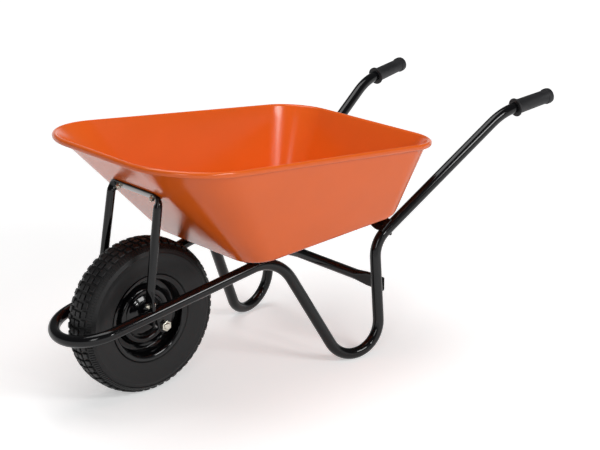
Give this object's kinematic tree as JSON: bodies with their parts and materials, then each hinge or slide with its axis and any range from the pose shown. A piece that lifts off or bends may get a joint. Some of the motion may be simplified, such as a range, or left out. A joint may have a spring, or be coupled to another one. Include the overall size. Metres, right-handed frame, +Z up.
{
  "type": "builder's wheelbarrow",
  "caption": "Single-wheel builder's wheelbarrow: pressed steel pan on a bent tube frame with a guard hoop, front stay, braced legs and rubber-gripped handles, on a free-turning pneumatic wheel.",
  "frame": {"origin": "on the ground under the middle of the whole barrow's box", "axes": "+X from the wheel to the handles, +Y to the right of the person who pushes it, +Z up"},
  "size_m": [1.4708, 0.6342, 0.6501],
  "materials": {
    "orange_paint": "glossy orange enamel, clean and unworn",
    "black_paint": "glossy black enamel",
    "zinc": "bright zinc plate",
    "bearing_steel": "ground steel",
    "tyre_rubber": "matt black moulded rubber",
    "tube_rubber": "matt black rubber",
    "grip_rubber": "matt ribbed black rubber"
  },
  "bodies": {
    "barrow": {"frame_tube": "black_paint", "pan": "orange_paint", "front_stay": "black_paint", "stay_lug_left": "black_paint", "stay_lug_right": "black_paint", "stay_foot_bolt_left": "zinc", "stay_foot_bolt_right": "zinc", "stay_foot_nut_left": "zinc", "stay_foot_nut_right": "zinc", "pan_front_bolt_left": "zinc", "pan_front_bolt_right": "zinc", "pan_front_washer_left": "zinc", "pan_front_washer_right": "zinc", "pan_front_nut_left": "zinc", "pan_front_nut_right": "zinc", "pan_bearer": "black_paint", "pan_floor_stud_left": "zinc", "pan_floor_stud_right": "zinc", "pan_floor_nut_left": "zinc", "pan_floor_nut_right": "zinc", "rear_strap": "black_paint", "strap_bolt_left": "black_paint", "strap_bolt_right": "black_paint", "strap_nut_left": "black_paint", "strap_nut_right": "black_paint", "leg_brace": "black_paint", "axle": "zinc", "axle_bracket_left": "black_paint", "axle_bracket_right": "black_paint", "axle_spacer_left": "zinc", "axle_spacer_right": "zinc", "axle_nut_left": "zinc", "axle_nut_right": "zinc", "grip_left": "grip_rubber", "grip_right": "grip_rubber"},
    "wheel": {"tyre": "tyre_rubber", "inner_tube": "tube_rubber", "valve": "tube_rubber", "valve_cap": "tube_rubber", "rim_left": "black_paint", "rim_right": "black_paint", "wheel_hub": "black_paint", "wheel_bearing_left": "bearing_steel", "wheel_bearing_right": "bearing_steel"}
  },
  "joints": [
    {"name": "wheel_spin", "type": "hinge", "parent": "barrow", "child": "wheel", "pos_m": [-0.48293, 0, 0.1999], "axis": [0, 1, 0], "continuous": true}
  ]
}
